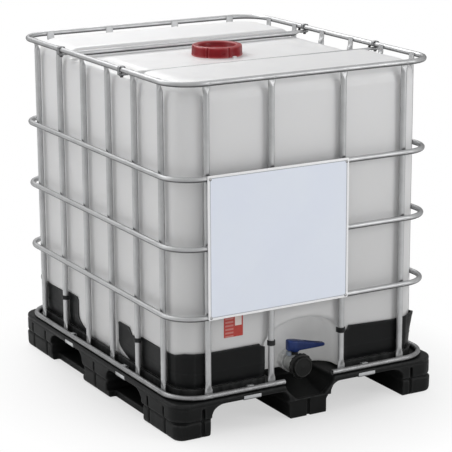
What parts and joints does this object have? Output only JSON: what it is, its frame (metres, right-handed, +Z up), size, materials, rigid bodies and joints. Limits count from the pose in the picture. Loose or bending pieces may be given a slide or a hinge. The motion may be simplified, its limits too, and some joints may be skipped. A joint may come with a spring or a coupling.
{
  "type": "intermediate bulk container",
  "caption": "Caged bulk liquid container: moulded tank in a welded tube cage on a plastic pallet, with a screw lid on top and a lever valve at the bottom of the front.",
  "frame": {"origin": "on the floor at the centre of the footprint", "axes": "+Z up, -Y towards the valve side (a short side), +X to the right when facing the valve side"},
  "size_m": [1, 1.2, 1.1524],
  "materials": {
    "galvanised_steel": "galvanised, satin, slightly mottled",
    "dark_steel": "dark satin",
    "clamp_steel": "zinc plated",
    "natural_plastic": "natural white polyethylene, soft satin, slightly translucent",
    "black_plastic": "black moulded polyethylene, satin",
    "guard_plastic": "black moulded sheet, satin",
    "valve_plastic": "black moulded polypropylene",
    "lid_plastic": "dark red, semi-gloss",
    "lever_plastic": "navy blue, semi-gloss",
    "seal_rubber": "black seal rubber",
    "plate_paint": "pale blue-white coated sheet, smooth",
    "label_film": "red printed film without lettering"
  },
  "bodies": {
    "frame": {"pallet": "black_plastic", "tray": "black_plastic", "top_hoop": "galvanised_steel", "upper_hoop": "galvanised_steel", "middle_hoop": "galvanised_steel", "lower_hoop": "galvanised_steel", "base_hoop": "galvanised_steel", "left_upright_1": "galvanised_steel", "left_upright_2": "galvanised_steel", "left_upright_3": "galvanised_steel", "left_upright_4": "galvanised_steel", "left_upright_5": "galvanised_steel", "left_upright_6": "galvanised_steel", "right_upright_1": "galvanised_steel", "right_upright_2": "galvanised_steel", "right_upright_3": "galvanised_steel", "right_upright_4": "galvanised_steel", "right_upright_5": "galvanised_steel", "right_upright_6": "galvanised_steel", "front_upright_1": "galvanised_steel", "front_upright_2": "galvanised_steel", "front_upright_3": "galvanised_steel", "front_upright_4": "galvanised_steel", "rear_upright_1": "galvanised_steel", "rear_upright_2": "galvanised_steel", "rear_upright_3": "galvanised_steel", "rear_upright_4": "galvanised_steel", "front_crossbar": "galvanised_steel", "rear_crossbar": "galvanised_steel", "front_crossbar_clamp_left": "dark_steel", "front_crossbar_clamp_right": "dark_steel", "rear_crossbar_clamp_left": "dark_steel", "rear_crossbar_clamp_right": "dark_steel", "cage_clamp_left_front": "clamp_steel", "cage_clamp_front_left": "clamp_steel", "cage_clamp_left_rear": "clamp_steel", "cage_clamp_front_right": "clamp_steel", "cage_clamp_right_front": "clamp_steel", "cage_clamp_rear_left": "clamp_steel", "cage_clamp_right_rear": "clamp_steel", "cage_clamp_rear_right": "clamp_steel", "tank": "natural_plastic", "union_nut": "valve_plastic", "valve_body": "valve_plastic", "corner_guard_front_left": "guard_plastic", "corner_guard_front_right": "guard_plastic", "corner_guard_rear_left": "guard_plastic", "corner_guard_rear_right": "guard_plastic", "label_plate": "plate_paint", "plate_screw_1": "galvanised_steel", "plate_screw_2": "galvanised_steel", "plate_screw_3": "galvanised_steel", "plate_screw_4": "galvanised_steel", "tank_label": "label_film"},
    "lid_seal": {"lid_gasket": "seal_rubber"},
    "lid": {"lid": "lid_plastic"},
    "valve_lever": {"valve_lever": "lever_plastic", "valve_disc": "valve_plastic"},
    "outlet_seal": {"outlet_gasket": "seal_rubber"},
    "outlet_cap": {"outlet_cap": "valve_plastic"}
  },
  "joints": [
    {"name": "lid_lift", "type": "slide", "parent": "frame", "child": "lid_seal", "axis": [0, 0, 1], "range_m": [0, 0.0281]},
    {"name": "lid_turn", "type": "hinge", "parent": "lid_seal", "child": "lid", "pos_m": [0, 0.015, 1.13], "axis": [0, 0, 1], "range_deg": [0, 1440]},
    {"name": "valve_turn", "type": "hinge", "parent": "frame", "child": "valve_lever", "pos_m": [0, -0.497, 0.2], "axis": [0, 0, 1], "range_deg": [-90, 0]},
    {"name": "outlet_cap_draw", "type": "slide", "parent": "frame", "child": "outlet_seal", "axis": [0, -1, 0], "range_m": [0, 0.0211]},
    {"name": "outlet_cap_turn", "type": "hinge", "parent": "outlet_seal", "child": "outlet_cap", "pos_m": [0, -0.548, 0.156], "axis": [0, -1, 0], "range_deg": [0, 1260]}
  ],
  "couplings": [
    {"joint": "lid_lift", "follows": "lid_turn", "m_per_rad": 0.0011141},
    {"joint": "outlet_cap_draw", "follows": "outlet_cap_turn", "m_per_rad": 0.00095493}
  ]
}
